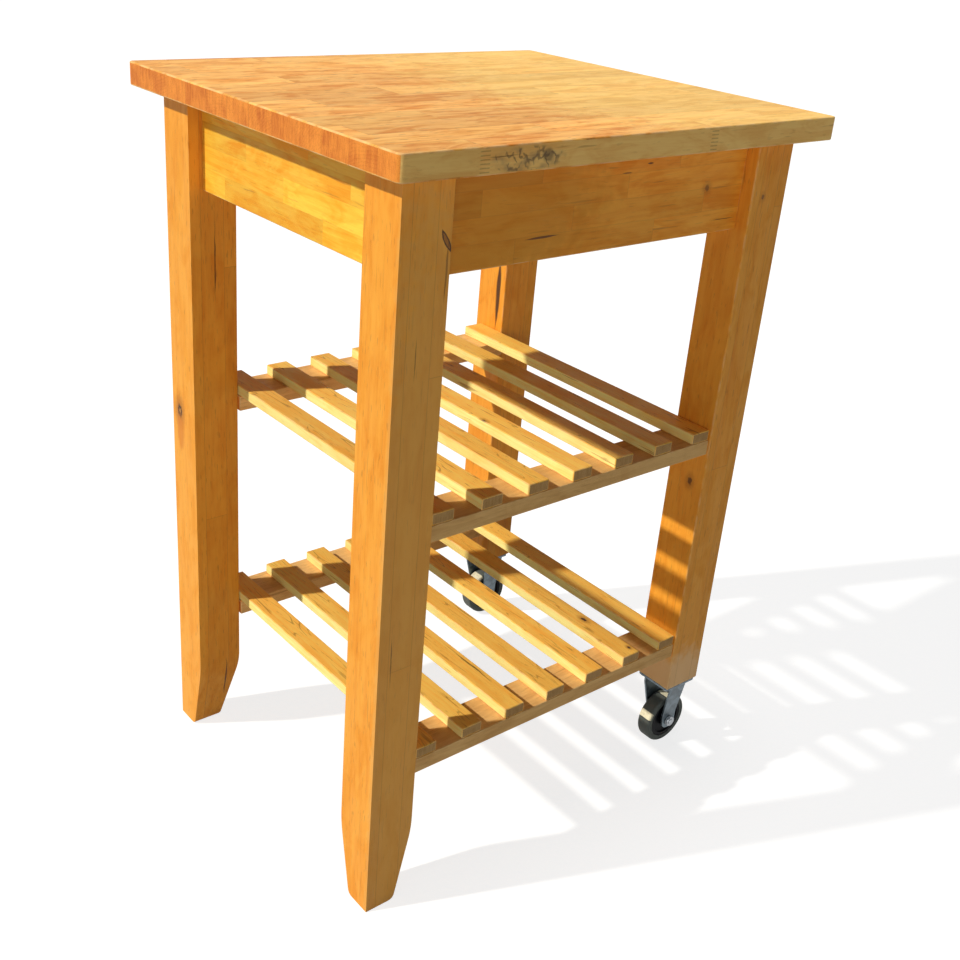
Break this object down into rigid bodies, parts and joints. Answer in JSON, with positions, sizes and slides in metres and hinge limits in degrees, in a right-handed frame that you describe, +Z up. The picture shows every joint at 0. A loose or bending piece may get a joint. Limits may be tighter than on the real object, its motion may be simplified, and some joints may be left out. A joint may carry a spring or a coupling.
{
  "type": "rolling kitchen cart",
  "caption": "Butcher block kitchen cart in birch: thick stave top on square legs, two open slatted shelves, two tapered feet and a fixed caster under each leg at one end.",
  "frame": {"origin": "on the floor, under the middle of the top", "axes": "+X along the long side, towards the end on casters; +Y across, from the front long side to the back one; +Z up"},
  "size_m": [0.58, 0.5, 0.85],
  "materials": {
    "top_wood": "oiled birch staves, satin, worn",
    "frame_wood": "oiled birch, satin",
    "slat_wood": "oiled birch, satin",
    "zinc_steel": "zinc plated, semi gloss",
    "dark_steel": "plain steel, dull",
    "grey_rubber": "matte, scuffed",
    "black_plastic": "satin"
  },
  "bodies": {
    "frame": {"table_top": "top_wood", "leg_front_left": "frame_wood", "leg_back_left": "frame_wood", "leg_front_right": "frame_wood", "leg_back_right": "frame_wood", "apron_front": "frame_wood", "apron_back": "frame_wood", "apron_left": "frame_wood", "apron_right": "frame_wood", "batten_upper_front": "frame_wood", "batten_upper_back": "frame_wood", "batten_lower_front": "frame_wood", "batten_lower_back": "frame_wood", "slat_upper_1": "slat_wood", "slat_upper_2": "slat_wood", "slat_upper_3": "slat_wood", "slat_upper_4": "slat_wood", "slat_upper_5": "slat_wood", "slat_upper_6": "slat_wood", "slat_upper_7": "slat_wood", "slat_lower_1": "slat_wood", "slat_lower_2": "slat_wood", "slat_lower_3": "slat_wood", "slat_lower_4": "slat_wood", "slat_lower_5": "slat_wood", "slat_lower_6": "slat_wood", "slat_lower_7": "slat_wood", "corner_brace_front_left": "zinc_steel", "hanger_bolt_front_left": "dark_steel", "hanger_nut_front_left": "dark_steel", "top_screw_front_left": "dark_steel", "corner_brace_back_left": "zinc_steel", "hanger_bolt_back_left": "dark_steel", "hanger_nut_back_left": "dark_steel", "top_screw_back_left": "dark_steel", "corner_brace_front_right": "zinc_steel", "hanger_bolt_front_right": "dark_steel", "hanger_nut_front_right": "dark_steel", "top_screw_front_right": "dark_steel", "corner_brace_back_right": "zinc_steel", "hanger_bolt_back_right": "dark_steel", "hanger_nut_back_right": "dark_steel", "top_screw_back_right": "dark_steel", "caster_bracket_front": "zinc_steel", "axle_sleeve_front": "dark_steel", "axle_bolt_front": "zinc_steel", "axle_nut_front": "zinc_steel", "plate_screw_front_1": "dark_steel", "plate_screw_front_2": "dark_steel", "caster_bracket_back": "zinc_steel", "axle_sleeve_back": "dark_steel", "axle_bolt_back": "zinc_steel", "axle_nut_back": "zinc_steel", "plate_screw_back_1": "dark_steel", "plate_screw_back_2": "dark_steel"},
    "wheel_front": {"caster_tyre_front": "grey_rubber", "caster_wheel_front": "black_plastic"},
    "wheel_back": {"caster_tyre_back": "grey_rubber", "caster_wheel_back": "black_plastic"}
  },
  "joints": [
    {"name": "wheel_front_spin", "type": "hinge", "parent": "frame", "child": "wheel_front", "pos_m": [0.2505, -0.1825, 0.035], "axis": [0, 1, 0], "continuous": true},
    {"name": "wheel_back_spin", "type": "hinge", "parent": "frame", "child": "wheel_back", "pos_m": [0.2505, 0.2025, 0.035], "axis": [0, 1, 0], "continuous": true}
  ]
}
